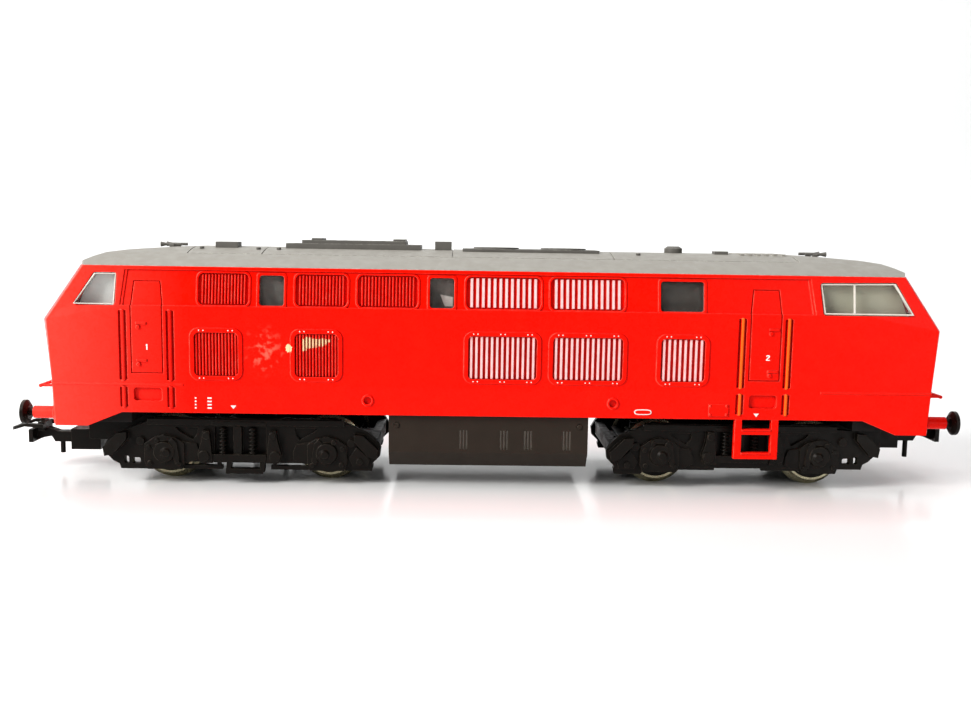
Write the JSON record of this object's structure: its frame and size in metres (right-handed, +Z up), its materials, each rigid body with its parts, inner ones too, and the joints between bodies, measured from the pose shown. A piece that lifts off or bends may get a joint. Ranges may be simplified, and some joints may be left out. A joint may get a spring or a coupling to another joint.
{
  "type": "model diesel locomotive",
  "caption": "Model diesel locomotive on two swivelling bogies, one with motor and gears, with sprung buffers and hook couplings.",
  "frame": {"origin": "midway between the two bogie pivots on the locomotive's centre line, at the height of the wheel flange tips, which is the surface it stands on", "axes": "+X along the locomotive towards the cab with the step ladder on its near side, +Y across towards the far side, +Z up"},
  "size_m": [0.1964, 0.0364, 0.0491],
  "materials": {
    "red_paint": "red semi-gloss paint on moulded plastic",
    "roof_grey": "umber grey matt paint",
    "fitting_grey": "dark grey moulded plastic",
    "clear_plastic": "clear moulded glazing",
    "black_plastic": "black-brown moulded plastic, satin",
    "tank_brown": "dark brown-grey moulded plastic",
    "buffer_black": "blackened turned metal, satin",
    "cast_weight": "plain casting",
    "black_casting": "blackened casting",
    "wheel_metal": "nickel-plated, dulled by running",
    "axle_steel": "bright steel",
    "rubber_tyre": "black rubber",
    "bronze": "bare phosphor bronze",
    "gear_brass": "machined brass",
    "gear_plastic": "natural acetal plastic",
    "magnet": "sintered magnet",
    "motor_steel": "dark plated steel",
    "armature_steel": "steel laminations with lacquered copper wire"
  },
  "bodies": {
    "locomotive": {"body_shell": "red_paint", "roof_shell": "roof_grey", "exhaust_housing": "fitting_grey", "fan_grille": "fitting_grey", "roof_fittings": "fitting_grey", "roof_horns": "fitting_grey", "cab_glazing_left": "clear_plastic", "cab_glazing_right": "clear_plastic", "side_glazing_near": "clear_plastic", "side_glazing_far": "clear_plastic", "lamp_lenses_left": "clear_plastic", "lamp_lenses_right": "clear_plastic", "front_handrail_left": "red_paint", "front_handrail_right": "red_paint", "ladder_near": "red_paint", "ladder_far": "red_paint", "chassis_frame": "black_casting", "ballast_weight": "cast_weight", "rear_weight": "cast_weight", "fuel_tank": "tank_brown", "tank_screws": "fitting_grey", "pivot_screw": "axle_steel"},
    "trailing_bogie": {"trailing_frame": "black_plastic", "trailing_springs": "black_plastic", "trailing_keeper": "black_plastic", "pickup_contacts": "bronze"},
    "driven_bogie": {"driven_frame": "black_plastic", "driven_springs": "black_plastic", "driven_keeper": "black_plastic", "motor_housing": "motor_steel", "field_magnet": "magnet"},
    "wheelset_outer_left": {"axle_outer_left": "axle_steel", "rims_outer_left": "wheel_metal", "centres_outer_left": "black_plastic"},
    "wheelset_inner_left": {"axle_inner_left": "axle_steel", "rims_inner_left": "wheel_metal", "centres_inner_left": "black_plastic"},
    "wheelset_inner_right": {"axle_inner_right": "axle_steel", "rims_inner_right": "wheel_metal", "centres_inner_right": "black_plastic", "axle_gear_inner": "gear_plastic"},
    "wheelset_outer_right": {"axle_outer_right": "axle_steel", "rims_outer_right": "wheel_metal", "centres_outer_right": "black_plastic", "axle_gear_outer": "gear_plastic", "traction_tyres": "rubber_tyre"},
    "motor_armature": {"armature": "armature_steel", "motor_pinion": "gear_brass"},
    "reduction_gear": {"compound_gear": "gear_brass"},
    "idler_inner": {"idler_gear_inner": "gear_plastic"},
    "idler_outer": {"idler_gear_outer": "gear_plastic"},
    "coupling_left_arm": {"coupling_left": "black_plastic"},
    "coupling_left_loop": {"coupling_loop": "black_plastic"},
    "coupling_right_arm": {"coupling_right": "black_plastic"},
    "buffer_left_near": {"buffer_left_near": "buffer_black"},
    "buffer_left_far": {"buffer_left_far": "buffer_black"},
    "buffer_right_near": {"buffer_right_near": "buffer_black"},
    "buffer_right_far": {"buffer_right_far": "buffer_black"}
  },
  "joints": [
    {"name": "trailing_swivel", "type": "hinge", "parent": "locomotive", "child": "trailing_bogie", "pos_m": [-0.04943, 0, 0.009], "axis": [0, 0, 1], "range_deg": [-8, 8]},
    {"name": "driven_swivel", "type": "hinge", "parent": "locomotive", "child": "driven_bogie", "pos_m": [0.04943, 0, 0.037], "axis": [0, 0, 1], "range_deg": [-8, 8]},
    {"name": "wheelset_outer_left_spin", "type": "hinge", "parent": "trailing_bogie", "child": "wheelset_outer_left", "pos_m": [-0.06553, 0, 0.00685], "axis": [0, 1, 0], "continuous": true},
    {"name": "wheelset_inner_left_spin", "type": "hinge", "parent": "trailing_bogie", "child": "wheelset_inner_left", "pos_m": [-0.03333, 0, 0.00685], "axis": [0, 1, 0], "continuous": true},
    {"name": "wheelset_inner_right_spin", "type": "hinge", "parent": "driven_bogie", "child": "wheelset_inner_right", "pos_m": [0.03333, 0, 0.00685], "axis": [0, 1, 0], "continuous": true},
    {"name": "wheelset_outer_right_spin", "type": "hinge", "parent": "driven_bogie", "child": "wheelset_outer_right", "pos_m": [0.06553, 0, 0.00685], "axis": [0, 1, 0], "continuous": true},
    {"name": "armature_spin", "type": "hinge", "parent": "driven_bogie", "child": "motor_armature", "pos_m": [0.04943, 0, 0.02584], "axis": [0, 1, 0], "continuous": true},
    {"name": "reduction_spin", "type": "hinge", "parent": "driven_bogie", "child": "reduction_gear", "pos_m": [0.04943, 0, 0.01584], "axis": [0, 1, 0], "continuous": true},
    {"name": "idler_inner_spin", "type": "hinge", "parent": "driven_bogie", "child": "idler_inner", "pos_m": [0.04239, 0, 0.01108], "axis": [0, 1, 0], "continuous": true},
    {"name": "idler_outer_spin", "type": "hinge", "parent": "driven_bogie", "child": "idler_outer", "pos_m": [0.05647, 0, 0.01108], "axis": [0, 1, 0], "continuous": true},
    {"name": "coupling_left_swing", "type": "hinge", "parent": "trailing_bogie", "child": "coupling_left_arm", "pos_m": [-0.08583, 0, 0.0067], "axis": [0, 0, 1], "range_deg": [-12, 12]},
    {"name": "coupling_loop_lift", "type": "hinge", "parent": "coupling_left_arm", "child": "coupling_left_loop", "pos_m": [-0.09443, 0, 0.0092], "axis": [0, 1, 0], "range_deg": [0, 35]},
    {"name": "coupling_right_swing", "type": "hinge", "parent": "driven_bogie", "child": "coupling_right_arm", "pos_m": [0.08383, 0, 0.0091], "axis": [0, 0, 1], "range_deg": [-12, 12]},
    {"name": "buffer_left_near_slide", "type": "slide", "parent": "locomotive", "child": "buffer_left_near", "axis": [1, 0, 0], "range_m": [0, 0.0008], "stiffness_N_per_m": 100, "springref_m": -0.001},
    {"name": "buffer_left_far_slide", "type": "slide", "parent": "locomotive", "child": "buffer_left_far", "axis": [1, 0, 0], "range_m": [0, 0.0008], "stiffness_N_per_m": 100, "springref_m": -0.001},
    {"name": "buffer_right_near_slide", "type": "slide", "parent": "locomotive", "child": "buffer_right_near", "axis": [-1, 0, 0], "range_m": [0, 0.0008], "stiffness_N_per_m": 100, "springref_m": -0.001},
    {"name": "buffer_right_far_slide", "type": "slide", "parent": "locomotive", "child": "buffer_right_far", "axis": [-1, 0, 0], "range_m": [0, 0.0008], "stiffness_N_per_m": 100, "springref_m": -0.001}
  ],
  "couplings": [
    {"joint": "reduction_spin", "follows": "armature_spin", "ratio": -0.25},
    {"joint": "idler_inner_spin", "follows": "armature_spin", "ratio": 0.13636},
    {"joint": "idler_outer_spin", "follows": "armature_spin", "ratio": 0.13636},
    {"joint": "wheelset_inner_right_spin", "follows": "armature_spin", "ratio": -0.16667},
    {"joint": "wheelset_outer_right_spin", "follows": "armature_spin", "ratio": -0.16667}
  ]
}
